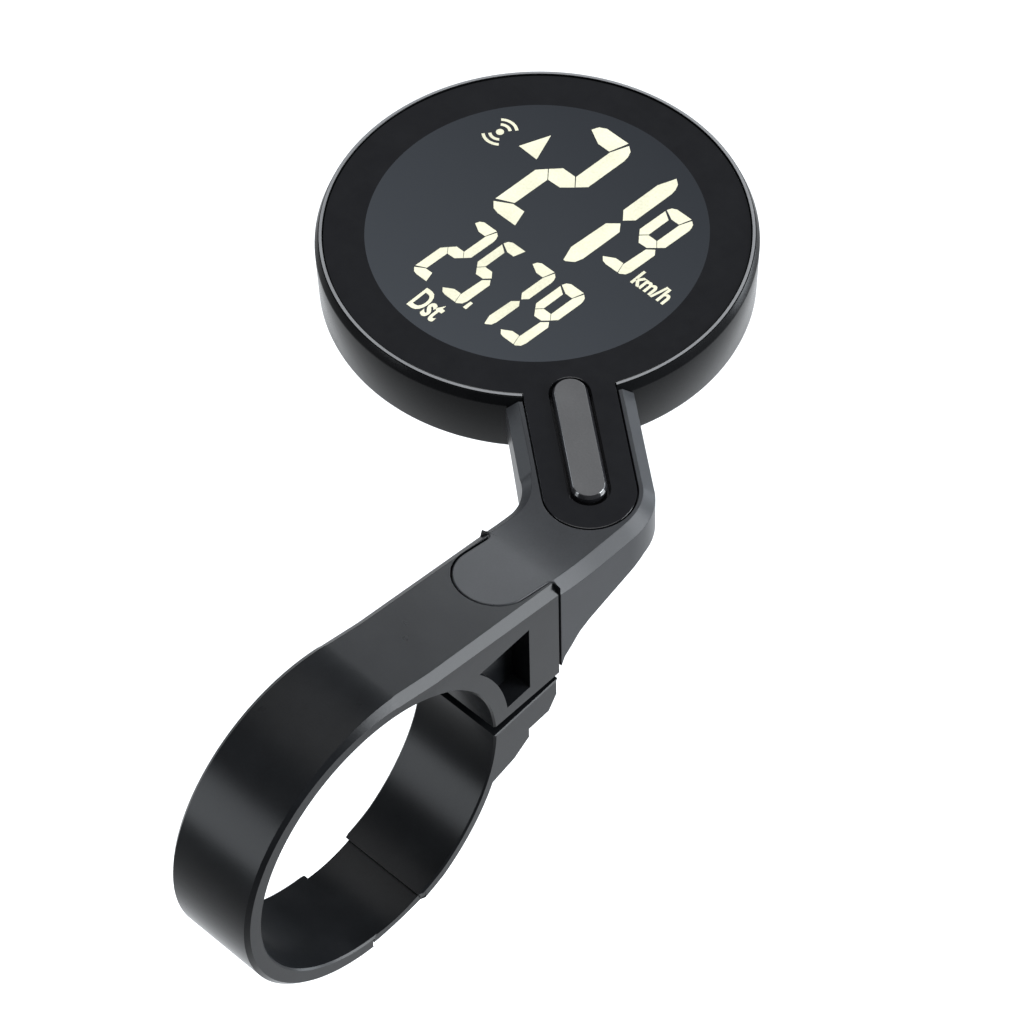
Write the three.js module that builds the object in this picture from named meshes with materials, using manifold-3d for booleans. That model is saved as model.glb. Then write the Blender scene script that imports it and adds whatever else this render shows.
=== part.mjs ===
// Cycling computer: a round display unit on a cranked arm, with a hinged clamp for a 31.8 mm
// handlebar. Millimetres, +Z up. The origin is the middle of the clamp's bore, X runs along
// the handlebar and +Y points forward, away from the rider.

import * as THREE from 'three';
import { mergeVertices } from 'three/addons/utils/BufferGeometryUtils.js';
import Module from 'manifold-3d';

const wasm = await Module();
wasm.setup();

// ---- driving dimensions ------------------------------------------------------------------

const GAP = 0.3;

// clamp
const BORE_R = 15.9;
const BAND_R = 17.9;
const JAW_R = 17.7;
const HALF_WIDTH = 5.25;
const TOP_SLOPE = 10.8;
const SEAM_Y = 25.5;
const BAND_BOTTOM = 0.75;
const BAND_BOTTOM_FRONT = 0.15;
const JAW_TOP = -0.55;
const HINGE_FROM = -94.6;
const HINGE_TO = -73.6;
const HINGE_INNER_R = 16.4;
const HINGE_OUTER_R = 17.4;
const BOLT_X = -0.6;
const BOLT_Y = 21.8;
const BOLT_R = 1.22;
const BOLT_HEAD_R = 2.2;
const LUG_BOTTOM = -4.6;
const SKEW = 0.85;
const SKEW_FROM_Y = 8;
const MID_X = -0.85;
const EDGE = 1.1;
const ARM_BEND_Y = 34;
const ARM_SLOPE = 4;
const BOSS_R = 2.45;
const BOSS_BOTTOM = 7.2;
const INSERT_R = 1.95;
const TAB_R = 4;
const TAB_Y = 21.9;
const TAB_DEPTH = 3.2;

// display unit, in its own frame: the lens face is z = 0
const UNIT = new THREE.Vector3(-29.5, 57.6, 12.8);
const CASE_R = 22.6;
const CASE_RIM_R = 22.3;
const CASE_FOOT_R = 22.4;
const CASE_BOTTOM = -7.4;
const CASE_INNER_R = 21.2;
const LENS_R = 21.75;
const LENS_T = 1.2;
const LENS_LEDGE = -1.5;
const TONGUE_ANGLE = -37.5;
const TONGUE_END = 34.4;
const TONGUE_R = 4.65;
const NECK_R = 6.4;
const NECK_BOTTOM = -5.2;
const CHANNEL_R = 3.9;
const CHANNEL_FLOOR = -4.45;
const CAP_FROM = 22;
const CAP_TO = 34;
const CAP_R = 1.78;
const SLOT_R = 2.15;
const BOARD_TOP = -3.6;
const BOARD_BOTTOM = -4.2;
const BACK_TOP = -6.2;
const WELL_R = 10.6;
const WELL_OUTER_R = 13.2;
const WELL_BOTTOM = -12.8;
const MOUTH_R = 11.4;
const SHOULDER = -11.2;
const COVER_R = 11.1;
const CELL_R = 10;
const CELL_TOP = -7.75;
const CELL_BOTTOM = -10.95;
const CASE_SCREW_R = 19.1;
const CASE_SCREW_ANGLES = [50, 130, 230, 310];
const ARM_SCREW_S = 18.8;
const ARM_SCREW_N = 3.6;
const SCREW_SHANK_R = 0.55;
const SCREW_HOLE_R = 0.85;
const SCREW_BOSS_R = 1.5;
const SET_BUTTON_S = -16.4;
const SET_BUTTON_R = 1.55;
const SWITCH_S = 27.9;
const FLANGE_R = 2.8;
const LCD_R = 18.6;
const LCD_HALF = 16;
const LCD_TOP = -1.5;
const LCD_BOTTOM = -2.5;
const FRAME_TOP = -2.65;
const GASKET_R = 20.72;
const GASKET_Z = -6.8;
const CLIP_X = 10.18;
const ORING_R = 10.95;
const ORING_Z = -11.5;
const LUG_TOP = -11.9;

// ---- making solids -----------------------------------------------------------------------

const rad = THREE.MathUtils.degToRad;

// a closed mesh becomes a manifold solid, without the slivers at a lathe's poles
function solid(geometry) {
  geometry.deleteAttribute('normal');
  geometry.deleteAttribute('uv');
  const merged = mergeVertices(geometry, 1e-4);
  const index = merged.index.array;
  const triangles = [];
  for (let i = 0; i < index.length; i += 3) {
    const [a, b, c] = [index[i], index[i + 1], index[i + 2]];
    if (a !== b && b !== c && c !== a) triangles.push(a, b, c);
  }
  return new wasm.Manifold(new wasm.Mesh({
    numProp: 3,
    vertProperties: new Float32Array(merged.attributes.position.array),
    triVerts: new Uint32Array(triangles),
  }));
}

function join(...solids) {
  return solids.reduce((a, b) => a.add(b));
}

function cut(body, ...tools) {
  return tools.reduce((a, b) => a.subtract(b), body);
}

// revolved about +Z; the outline is a list of [radius, z]
function turned(outline, segments = 64) {
  const points = outline.map(([r, z]) => new THREE.Vector2(r, z));
  return solid(new THREE.LatheGeometry(points, segments).rotateX(Math.PI / 2));
}

// a closed ring: the outline goes round anticlockwise and back to its first point
function turnedRing(outline, segments = 64) {
  return turned([...outline, outline[0]], segments);
}

// a flat outline raised from z0 to z1
function slab(shape, z0, z1, curveSegments = 12) {
  const options = { depth: z1 - z0, bevelEnabled: false, curveSegments };
  return solid(new THREE.ExtrudeGeometry(shape, options).translate(0, 0, z0));
}

// the same, with its top and bottom edges bevelled
function bevelledSlab(shape, z0, z1, bevel) {
  const options = { depth: z1 - z0 - 2 * bevel, curveSegments: 12, bevelSegments: 1 };
  options.bevelThickness = bevel;
  options.bevelSize = bevel;
  options.bevelOffset = -bevel;
  return solid(new THREE.ExtrudeGeometry(shape, options).translate(0, 0, z0 + bevel));
}

// an outline in the Y-Z plane, extruded along X, with its edges bevelled
function rail(shape, x0, x1, bevel = 0) {
  const options = { depth: x1 - x0 - 2 * bevel, curveSegments: 20 };
  options.bevelEnabled = bevel > 0;
  options.bevelThickness = bevel;
  options.bevelSize = bevel;
  options.bevelOffset = -bevel;
  options.bevelSegments = 1;
  const toYz = new THREE.Matrix4().makeBasis(
    new THREE.Vector3(0, 1, 0),
    new THREE.Vector3(0, 0, 1),
    new THREE.Vector3(1, 0, 0),
  );
  const geometry = new THREE.ExtrudeGeometry(shape, options).applyMatrix4(toYz);
  geometry.translate(x0 + bevel, 0, 0);
  const position = geometry.getAttribute('position');
  for (let i = 0; i < position.count; i += 1) {
    position.setX(i, position.getX(i) - skewAt(position.getY(i)));
  }
  return solid(geometry);
}

// how far the clamp's neck has turned aside, towards the display unit
function skewAt(y) {
  return SKEW * THREE.MathUtils.clamp((y - SKEW_FROM_Y) / (SEAM_Y - SKEW_FROM_Y), 0, 1);
}

function rod(radius, z0, z1, x = 0, y = 0, segments = 20) {
  const geometry = new THREE.CylinderGeometry(radius, radius, z1 - z0, segments);
  return solid(geometry.rotateX(Math.PI / 2).translate(x, y, (z0 + z1) / 2));
}

function block(x0, x1, y0, y1, z0, z1) {
  const geometry = new THREE.BoxGeometry(x1 - x0, y1 - y0, z1 - z0);
  return solid(geometry.translate((x0 + x1) / 2, (y0 + y1) / 2, (z0 + z1) / 2));
}

function polygon(points) {
  return new THREE.Shape(points.map(([x, y]) => new THREE.Vector2(x, y)));
}

// round-ended slot along the unit's x axis, between two end centres
function stadium(from, to, radius) {
  const shape = new THREE.Shape();
  shape.absarc(from, 0, radius, Math.PI / 2, 1.5 * Math.PI);
  shape.absarc(to, 0, radius, -Math.PI / 2, Math.PI / 2);
  return shape;
}

// from along the tongue to the display unit's own axes
function alongTongue(body) {
  return body.rotate([0, 0, TONGUE_ANGLE]);
}

function tonguePoint(s, n) {
  const point = new THREE.Vector2(s, n);
  return point.rotateAround(new THREE.Vector2(), rad(TONGUE_ANGLE));
}

function finish(color, roughness, metalness = 0) {
  return { color, roughness, metalness };
}

function part(group, name, body, look) {
  const mesh = body.getMesh();
  const geometry = new THREE.BufferGeometry();
  geometry.setAttribute('position', new THREE.BufferAttribute(mesh.vertProperties, 3));
  geometry.setIndex(new THREE.BufferAttribute(mesh.triVerts, 1));
  geometry.computeVertexNormals();
  const node = new THREE.Mesh(geometry, new THREE.MeshStandardMaterial(look));
  node.name = name;
  group.add(node);
}

const CHARCOAL = finish(0x26282b, 0.5);
const GLOSS_BLACK = finish(0x07080a, 0.12);
const GREY_RUBBER = finish(0x58585a, 0.7);
const BLACK_RUBBER = finish(0x141414, 0.85);
const STEEL = finish(0xb4b6b8, 0.3, 1);
const GILT = finish(0xc9a558, 0.35, 1);
const BOARD_GREEN = finish(0x1d5a36, 0.55);
const PANEL = finish(0x3c4546, 0.15);
const WHITE_FILM = finish(0xd9dccb, 0.6);
const MOULDED_BLACK = finish(0x1a1b1d, 0.6);

// ---- clamp -------------------------------------------------------------------------------

function topZ(y) {
  const slope = rad(TOP_SLOPE);
  return (BAND_R - y * Math.sin(slope)) / Math.cos(slope);
}

function boreAngle(z) {
  return Math.asin(z / BORE_R);
}

// a triangular pocket that lightens each side of the clamp's neck
function windowPocket(x0, x1) {
  const front = 21.1;
  const ceiling = 11.2;
  const floor = 2.2;
  const shape = new THREE.Shape();
  shape.moveTo(front, floor);
  shape.lineTo(front, ceiling);
  shape.lineTo(Math.sqrt(BAND_R ** 2 - ceiling ** 2), ceiling);
  const from = Math.asin(ceiling / BAND_R);
  const to = Math.asin(floor / BAND_R);
  shape.absarc(0, 0, BAND_R, from, to, true);
  return rail(shape, x0, x1);
}

function clampBody() {
  const slope = rad(90 - TOP_SLOPE);
  const shape = new THREE.Shape();
  shape.moveTo(SEAM_Y, BAND_BOTTOM_FRONT);
  shape.lineTo(SEAM_Y, topZ(SEAM_Y));
  shape.absarc(0, 0, BAND_R, slope, rad(360 + HINGE_FROM), false);
  shape.absarc(0, 0, BORE_R, rad(360 + HINGE_FROM), boreAngle(BAND_BOTTOM), true);
  const pocketDepth = 2.4;
  const seat = stadium(TAB_Y, SEAM_Y + 2 * TAB_R, TAB_R + GAP);
  const seatFloor = topZ(SEAM_Y) - TAB_DEPTH - GAP;
  const seatCut = slab(seat, seatFloor, 20).rotate([0, 0, 90]).translate([MID_X, 0, 0]);
  return cut(
    rail(shape, -HALF_WIDTH, HALF_WIDTH, 0.5),
    seatCut,
    rod(BOLT_R + 0.35, 0, 20, BOLT_X, BOLT_Y),
    rod(BOSS_R + GAP, BOSS_BOTTOM - GAP, 20, BOLT_X, BOLT_Y),
    windowPocket(HALF_WIDTH - pocketDepth, HALF_WIDTH + 1),
    windowPocket(-HALF_WIDTH - 1, pocketDepth - HALF_WIDTH),
  );
}

function lowerJaw() {
  const shape = new THREE.Shape();
  const front = SEAM_Y - 0.3;
  shape.moveTo(front, JAW_TOP);
  shape.lineTo(Math.sqrt(BORE_R ** 2 - JAW_TOP ** 2), JAW_TOP);
  shape.absarc(0, 0, BORE_R, boreAngle(JAW_TOP), rad(HINGE_TO), true);
  shape.absarc(0, 0, JAW_R, rad(HINGE_TO), rad(-27), false);
  shape.lineTo(18.8, -7.4);
  shape.lineTo(21.4, -5.9);
  shape.lineTo(21.4, LUG_BOTTOM);
  shape.lineTo(23.9, LUG_BOTTOM);
  shape.lineTo(front, -2.8);
  const across = (from, to, radius, top) => slab(stadium(from, to, radius), -12, top)
    .rotate([0, 0, 90])
    .translate([BOLT_X, 0, 0]);
  const slot = across(BOLT_Y - 2.2, BOLT_Y + 0.1, BOLT_R + 0.18, 5);
  const headRoom = across(BOLT_Y - 1.5, BOLT_Y + 0.3, BOLT_HEAD_R + GAP, LUG_BOTTOM);
  return cut(rail(shape, -HALF_WIDTH, HALF_WIDTH), slot, headRoom);
}

function hingeWeb() {
  const clear = 0.5;
  const shape = new THREE.Shape();
  const [from, to] = [rad(HINGE_FROM + clear), rad(HINGE_TO - clear)];
  shape.absarc(0, 0, HINGE_OUTER_R, from, to, false);
  shape.absarc(0, 0, HINGE_INNER_R, to, from, true);
  return rail(shape, 0.4 - HALF_WIDTH, HALF_WIDTH - 0.4);
}

// socket-head screw, head down
function clampBolt() {
  const headTop = LUG_BOTTOM - 0.1;
  return cut(
    join(
      rod(BOLT_R, headTop - 0.5, 11.6, BOLT_X, BOLT_Y),
      rod(BOLT_HEAD_R, headTop - 2.2, headTop, BOLT_X, BOLT_Y),
    ),
    rod(1.15, headTop - 3, headTop - 0.9, BOLT_X, BOLT_Y, 6),
  );
}

function threadInsert() {
  const shell = rod(INSERT_R, BOSS_BOTTOM + 0.1, 12, BOLT_X, BOLT_Y);
  return cut(shell, rod(BOLT_R + 0.15, 7, 12.5, BOLT_X, BOLT_Y));
}

const clamp = new THREE.Group();
part(clamp, 'clamp_body', clampBody(), CHARCOAL);
part(clamp, 'lower_jaw', lowerJaw(), CHARCOAL);
part(clamp, 'hinge_web', hingeWeb(), CHARCOAL);
part(clamp, 'clamp_bolt', clampBolt(), STEEL);
part(clamp, 'thread_insert', threadInsert(), GILT);

// ---- arm ---------------------------------------------------------------------------------

// plan outline of neck and arm, in the clamp's axes, anticlockwise
function armPlan() {
  const place = (s, n) => tonguePoint(s, n).add(new THREE.Vector2(UNIT.x, UNIT.y));
  const bend = 10;
  const near = HALF_WIDTH - SKEW;
  const far = -HALF_WIDTH - SKEW - 0.1;
  const nearBend = place(34.2, NECK_R);
  const farCorner = place(31, -NECK_R);
  const shape = new THREE.Shape();
  const start = place(20, NECK_R);
  shape.moveTo(start.x, start.y);
  shape.lineTo(nearBend.x, nearBend.y);
  shape.quadraticCurveTo(near, SEAM_Y + 14.4, near, SEAM_Y + bend);
  shape.lineTo(near, SEAM_Y - 2);
  shape.lineTo(far, SEAM_Y - 2);
  shape.lineTo(far, SEAM_Y + 4);
  shape.quadraticCurveTo(far, SEAM_Y + 6.6, farCorner.x, farCorner.y);
  const end = place(20, -NECK_R);
  shape.lineTo(end.x, end.y);
  return shape;
}

function armProfile() {
  const tip = UNIT.y - 4;
  return polygon([
    [SEAM_Y + 0.25, UNIT.z + 5],
    [SEAM_Y + 0.25, 0.9],
    [26.2, 2],
    [27.2, 2.9],
    [28.3, 4],
    [29.7, 4.75],
    [32.6, 5.8],
    [35.4, 6.8],
    [37.6, UNIT.z + NECK_BOTTOM],
    [tip, UNIT.z + NECK_BOTTOM],
    [tip, UNIT.z + 5],
  ].reverse());
}

function arm() {
  const level = bevelledSlab(armPlan(), -16, 0, EDGE);
  const hinge = [0, ARM_BEND_Y, UNIT.z];
  const tilt = (body) => body.translate([0, -ARM_BEND_Y, 0]).rotate([-ARM_SLOPE, 0, 0])
    .translate(hinge);
  const neck = cut(level.translate([0, 0, UNIT.z]), block(-20, 20, 0, ARM_BEND_Y, -20, 20));
  const rear = cut(tilt(level), block(-40, 20, ARM_BEND_Y + 0.01, 80, -20, 40));
  const beam = join(neck, rear).intersect(rail(armProfile(), -40, 20));
  const tab = slab(stadium(TAB_Y, SEAM_Y + 3, TAB_R), topZ(SEAM_Y) - TAB_DEPTH, 20)
    .rotate([0, 0, 90])
    .translate([MID_X, 0, 0])
    .intersect(rail(tabProfile(), -10, 10));
  const boss = rod(BOSS_R, BOSS_BOTTOM, 11, BOLT_X, BOLT_Y);
  const toUnit = (body) => body.translate([UNIT.x, UNIT.y, UNIT.z]);
  const window = slab(stadium(15, TONGUE_END, TONGUE_R + GAP), LENS_LEDGE, 5);
  const channel = slab(stadium(15, TONGUE_END - 1, CHANNEL_R), CHANNEL_FLOOR, 0);
  const caseRoom = rod(CASE_R + GAP, -20, 20, 0, 0, 96);
  const foot = cut(
    block(16.9, 24, -4.6, 4.6, NECK_BOTTOM, CHANNEL_FLOOR),
    rod(0.85, -6, 0, ARM_SCREW_S, ARM_SCREW_N),
    rod(0.85, -6, 0, ARM_SCREW_S, -ARM_SCREW_N),
  );
  const hollow = [window, channel].map((tool) => toUnit(alongTongue(tool)));
  const body = cut(join(beam, tab, boss), ...hollow, toUnit(caseRoom));
  return cut(
    join(body, toUnit(alongTongue(foot))),
    rod(INSERT_R + 0.1, 7, 12.2, BOLT_X, BOLT_Y),
  );
}

// the tab is flush with the clamp's sloping top
function tabProfile() {
  const rear = TAB_Y - TAB_R - 1;
  return polygon([
    [rear, 5],
    [SEAM_Y + 3, 5],
    [SEAM_Y + 3, topZ(SEAM_Y) - 0.26],
    [SEAM_Y, topZ(SEAM_Y)],
    [rear, topZ(rear)],
  ]);
}

const armGroup = new THREE.Group();
part(armGroup, 'arm', arm(), CHARCOAL);

// ---- display unit ------------------------------------------------------------------------

const screwPlaces = CASE_SCREW_ANGLES.map((angle) => {
  const turn = rad(TONGUE_ANGLE + angle);
  return [CASE_SCREW_R * Math.cos(turn), CASE_SCREW_R * Math.sin(turn)];
});

function caseBody() {
  const shell = turnedRing([
    [CASE_RIM_R, 0.15],
    [LENS_R + 0.2, 0.15],
    [LENS_R + 0.2, LENS_LEDGE],
    [20.5, LENS_LEDGE],
    [20.5, LENS_LEDGE - 0.5],
    [CASE_INNER_R, LENS_LEDGE - 1],
    [CASE_INNER_R, CASE_BOTTOM],
    [22, CASE_BOTTOM],
    [CASE_FOOT_R, CASE_BOTTOM + 0.4],
    [CASE_R, -1.4],
  ], 80);
  const [bossFoot, bossTop] = [-6, -2.9];
  const towardWall = 1.09;
  const bosses = screwPlaces.flatMap(([x, y]) => [
    rod(SCREW_BOSS_R, bossFoot, bossTop, x, y),
    rod(0.9, bossFoot, bossTop, x * towardWall, y * towardWall, 12),
  ]);
  const half = TONGUE_R + 0.4;
  const opening = block(15, 30, -half, half, NECK_BOTTOM - GAP, 5);
  const room = screwPlaces.map(([x, y]) => rod(SCREW_HOLE_R, CASE_BOTTOM, -4, x, y));
  return cut(join(shell, ...bosses), alongTongue(opening), ...room);
}

function lens() {
  const body = join(
    rod(LENS_R, -LENS_T, 0, 0, 0, 96),
    alongTongue(slab(stadium(15, TONGUE_END, TONGUE_R), -LENS_T, 0)),
  );
  return cut(body, alongTongue(slab(stadium(CAP_FROM - 0.1, CAP_TO + 0.2, SLOT_R), -3, 3)));
}

function lensTape() {
  const outline = new THREE.Shape();
  outline.absarc(0, 0, LENS_R - 0.35, 0, 2 * Math.PI);
  const hole = new THREE.Path();
  hole.absarc(0, 0, LENS_R - 1.05, 0, 2 * Math.PI);
  outline.holes.push(hole);
  const half = TONGUE_R + 0.65;
  const gate = alongTongue(block(15, 25, -half, half, -3, 1));
  return cut(slab(outline, LENS_LEDGE + 0.05, -LENS_T - 0.05, 30), gate);
}

function lcdGlass() {
  const round = rod(LCD_R, LCD_BOTTOM, LCD_TOP, 0, 0, 72);
  return round.intersect(block(-LCD_R, LCD_R, -LCD_HALF, LCD_HALF, LCD_BOTTOM - 1, 0));
}

function lcdReflector() {
  const [radius, half] = [15.6, 12.6];
  const round = rod(radius, FRAME_TOP - 0.2, FRAME_TOP, 0, 0, 48);
  return round.intersect(block(-radius, radius, -half, half, -3, 0));
}

function lcdFrame() {
  const foot = BOARD_TOP + 0.25;
  const [inner, outer] = [16, 17.3];
  return turnedRing([[inner, foot], [outer, foot], [outer, FRAME_TOP], [inner, FRAME_TOP]], 48);
}

function zebra(side) {
  const [half, y] = [5.6, side * 13.8];
  return block(-half, half, y - 0.7, y + 0.7, BOARD_TOP + 0.2, FRAME_TOP);
}

function circuitBoard() {
  return join(
    rod(17.3, BOARD_BOTTOM, BOARD_TOP, 0, 0, 60),
    alongTongue(slab(stadium(15, 31.6, 2.3), BOARD_BOTTOM, BOARD_TOP, 10)),
  );
}

function timingCrystal() {
  const can = new THREE.CylinderGeometry(0.75, 0.75, 5.2, 20);
  return solid(can.translate(9, 6, BOARD_BOTTOM - 0.95));
}

function modeSwitch() {
  const body = block(SWITCH_S - 1.9, SWITCH_S + 1.9, -1.6, 1.6, -3.4, -2.5);
  return alongTongue(cut(body, rod(1.15, -4, 0, SWITCH_S, 0)));
}

function switchPlunger() {
  return alongTongue(rod(0.8, -2.95, -2.05, SWITCH_S, 0));
}

// stadium cap with bevelled shoulders, standing on a flange that the lens holds down
function modeButton() {
  const options = { depth: 2.1, bevelThickness: 0.3, bevelSize: 0.15, bevelOffset: -0.15 };
  options.bevelSegments = 1;
  options.curveSegments = 10;
  const cap = new THREE.ExtrudeGeometry(stadium(CAP_FROM, CAP_TO, CAP_R), options);
  return alongTongue(join(
    solid(cap.translate(0, 0, -1.55)),
    slab(stadium(CAP_FROM + 0.2, CAP_TO - 0.2, FLANGE_R), -1.9, -1.5),
  ));
}

function caseBack() {
  const shell = turned([
    [0, BACK_TOP],
    [0, -7],
    [WELL_R, -7],
    [WELL_R, SHOULDER],
    [MOUTH_R, SHOULDER],
    [MOUTH_R, -11.5],
    [12.2, -11.5],
    [12.2, -12.4],
    [MOUTH_R, -12.4],
    [MOUTH_R, WELL_BOTTOM],
    [WELL_OUTER_R - 0.5, WELL_BOTTOM],
    [WELL_OUTER_R, WELL_BOTTOM + 0.5],
    [WELL_OUTER_R, -8],
    [WELL_OUTER_R + 0.6, CASE_BOTTOM],
    [20.9, CASE_BOTTOM],
    [20.9, -7.1],
    [20.1, -7.1],
    [20.1, -6.5],
    [20.9, -6.5],
    [20.9, BACK_TOP],
    [0, BACK_TOP],
  ], 56);
  const screwRoom = screwPlaces.flatMap(([x, y]) => [
    rod(SCREW_HOLE_R, -9, -5, x, y),
    rod(SCREW_BOSS_R, -9, CASE_BOTTOM + 0.65, x, y),
  ]);
  const atArmScrews = (radius, z0, z1) => [1, -1].map((side) => (
    alongTongue(rod(radius, z0, z1, ARM_SCREW_S, side * ARM_SCREW_N))
  ));
  const lugGate = block(10, 12.2, -1.9, 1.9, WELL_BOTTOM - 1, -12);
  return cut(
    join(shell, ...atArmScrews(1.4, -6.6, NECK_BOTTOM - 0.25)),
    ...atArmScrews(SCREW_HOLE_R, -7, -5),
    ...screwRoom,
    alongTongue(rod(SET_BUTTON_R + 0.35, -9, -5, SET_BUTTON_S, 0)),
    rod(0.75, -8, -5, 0, 0),
    block(9.75, WELL_R, -1.1, 1.1, -8, -5),
    ...[0, 180].map((turn) => lugGate.rotate([0, 0, turn])),
  );
}

function caseScrew([x, y]) {
  return cut(
    join(rod(SCREW_SHANK_R, -7.1, -4.3, x, y, 12), rod(1.2, CASE_BOTTOM + 0.05, -7, x, y, 16)),
    block(x - 0.9, x + 0.9, y - 0.15, y + 0.15, -8, -7.2),
  );
}

function armScrew(side) {
  const [s, n] = [ARM_SCREW_S, side * ARM_SCREW_N];
  return alongTongue(cut(
    join(rod(SCREW_SHANK_R, -6.5, -4, s, n, 12), rod(1.1, -4.3, -3.8, s, n, 16)),
    block(s - 0.8, s + 0.8, n - 0.14, n + 0.14, -4, -3),
  ));
}

// a round-section ring, as an O-ring
function roundRing(radius, thickness, z, segments) {
  const torus = new THREE.TorusGeometry(radius, thickness, 6, segments);
  return solid(torus.translate(0, 0, z));
}

function setButton() {
  return alongTongue(join(
    rod(SET_BUTTON_R, -7.8, -6, SET_BUTTON_S, 0),
    rod(2.5, -6.05, -5.6, SET_BUTTON_S, 0),
  ));
}

function setSwitch() {
  const half = 1.5;
  const top = BOARD_BOTTOM - 0.15;
  return alongTongue(
    block(SET_BUTTON_S - half, SET_BUTTON_S + half, -half, half, top - 0.7, top),
  );
}

function contactNegative() {
  const top = BOARD_BOTTOM - 0.15;
  return join(rod(0.45, -7.45, top), rod(3.2, CELL_TOP + 0.2, CELL_TOP + 0.45));
}

function contactPositive() {
  const [inner, outer] = [CLIP_X, CLIP_X + 0.22];
  return join(
    block(inner, outer, -1.6, 1.6, -10.6, -7.3),
    block(inner, outer, -0.7, 0.7, -7.5, BOARD_BOTTOM - 0.15),
  );
}

function coinCell() {
  return turned([
    [0, CELL_TOP],
    [0, CELL_BOTTOM],
    [CELL_R - 0.3, CELL_BOTTOM],
    [CELL_R, CELL_BOTTOM + 0.3],
    [CELL_R, CELL_TOP - 0.4],
    [8.9, CELL_TOP - 0.3],
    [8.7, CELL_TOP],
    [0, CELL_TOP],
  ], 48);
}

function batteryCover() {
  const disc = turned([
    [0, -11.3],
    [0, WELL_BOTTOM],
    [COVER_R - 0.2, WELL_BOTTOM],
    [COVER_R, WELL_BOTTOM + 0.2],
    [COVER_R, LUG_TOP],
    [10.3, LUG_TOP],
    [10.3, -11.3],
    [0, -11.3],
  ], 48);
  const lug = block(10.5, 11.9, -1.6, 1.6, LUG_TOP - 0.4, LUG_TOP);
  const lugs = [0, 180].map((turn) => lug.rotate([0, 0, turn + 30]));
  const coinSlot = slab(stadium(-5, 5, 0.9), -14, -12.2, 8);
  return cut(join(disc, ...lugs), coinSlot);
}

const unit = new THREE.Group();
unit.position.copy(UNIT);
part(unit, 'case_body', caseBody(), CHARCOAL);
part(unit, 'lens', lens(), GLOSS_BLACK);
part(unit, 'lens_tape', lensTape(), BLACK_RUBBER);
part(unit, 'lcd_glass', lcdGlass(), PANEL);
part(unit, 'lcd_reflector', lcdReflector(), WHITE_FILM);
part(unit, 'lcd_frame', lcdFrame(), MOULDED_BLACK);
part(unit, 'zebra_front', zebra(1), BLACK_RUBBER);
part(unit, 'zebra_rear', zebra(-1), BLACK_RUBBER);
part(unit, 'circuit_board', circuitBoard(), BOARD_GREEN);
part(unit, 'controller_chip', block(-3, 3, 3, 9, -5.35, -4.4), MOULDED_BLACK);
part(unit, 'timing_crystal', timingCrystal(), STEEL);
part(unit, 'mode_switch', modeSwitch(), MOULDED_BLACK);
part(unit, 'mode_switch_plunger', switchPlunger(), STEEL);
part(unit, 'mode_button', modeButton(), GREY_RUBBER);
part(unit, 'case_back', caseBack(), CHARCOAL);
part(unit, 'case_gasket', roundRing(GASKET_R, 0.28, GASKET_Z, 48), BLACK_RUBBER);
screwPlaces.forEach((place, i) => part(unit, `case_screw_${i + 1}`, caseScrew(place), STEEL));
part(unit, 'arm_screw_1', armScrew(1), STEEL);
part(unit, 'arm_screw_2', armScrew(-1), STEEL);
part(unit, 'set_button', setButton(), GREY_RUBBER);
part(unit, 'set_switch', setSwitch(), MOULDED_BLACK);
part(unit, 'battery_contact_negative', contactNegative(), STEEL);
part(unit, 'battery_contact_positive', contactPositive(), STEEL);
part(unit, 'coin_cell', coinCell(), STEEL);
part(unit, 'cover_oring', roundRing(ORING_R, 0.25, ORING_Z, 36), BLACK_RUBBER);
part(unit, 'battery_cover', batteryCover(), CHARCOAL);

const computer = new THREE.Group();
computer.add(clamp, armGroup, unit);

export default computer;
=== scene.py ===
# Cycling computer: a round display unit on a cranked arm, with a hinged handlebar clamp.
# Sizes are in millimetres and become metres when a mesh is made. +Z is up, X runs along the bar.

import math

import bmesh
import bpy
from mathutils import Matrix, Vector


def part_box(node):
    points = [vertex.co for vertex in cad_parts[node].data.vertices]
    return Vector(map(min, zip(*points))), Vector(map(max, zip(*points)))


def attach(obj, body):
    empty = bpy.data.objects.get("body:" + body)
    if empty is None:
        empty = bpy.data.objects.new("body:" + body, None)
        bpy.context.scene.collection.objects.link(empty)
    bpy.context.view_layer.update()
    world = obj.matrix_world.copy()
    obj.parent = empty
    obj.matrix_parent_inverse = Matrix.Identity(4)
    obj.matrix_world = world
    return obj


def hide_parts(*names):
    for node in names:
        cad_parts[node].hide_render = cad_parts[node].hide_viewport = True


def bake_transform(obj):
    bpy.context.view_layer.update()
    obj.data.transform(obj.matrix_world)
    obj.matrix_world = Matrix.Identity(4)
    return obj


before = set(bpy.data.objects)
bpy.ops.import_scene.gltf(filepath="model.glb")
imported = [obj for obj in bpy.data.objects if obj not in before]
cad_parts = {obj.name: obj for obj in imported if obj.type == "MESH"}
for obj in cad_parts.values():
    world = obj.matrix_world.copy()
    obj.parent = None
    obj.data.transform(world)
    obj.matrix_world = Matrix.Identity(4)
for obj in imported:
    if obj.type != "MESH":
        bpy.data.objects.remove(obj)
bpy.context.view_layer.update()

scene = bpy.context.scene

# ---- clamp band --------------------------------------------------------------------------
# The upper half of the handlebar clamp, moulded in glass-filled nylon with a fine satin
# grain. Its near and far edges are chamfered, wider towards the seam, and two blind windows
# lighten the neck. A round-ended seat in its top takes the arm's tab.

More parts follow.
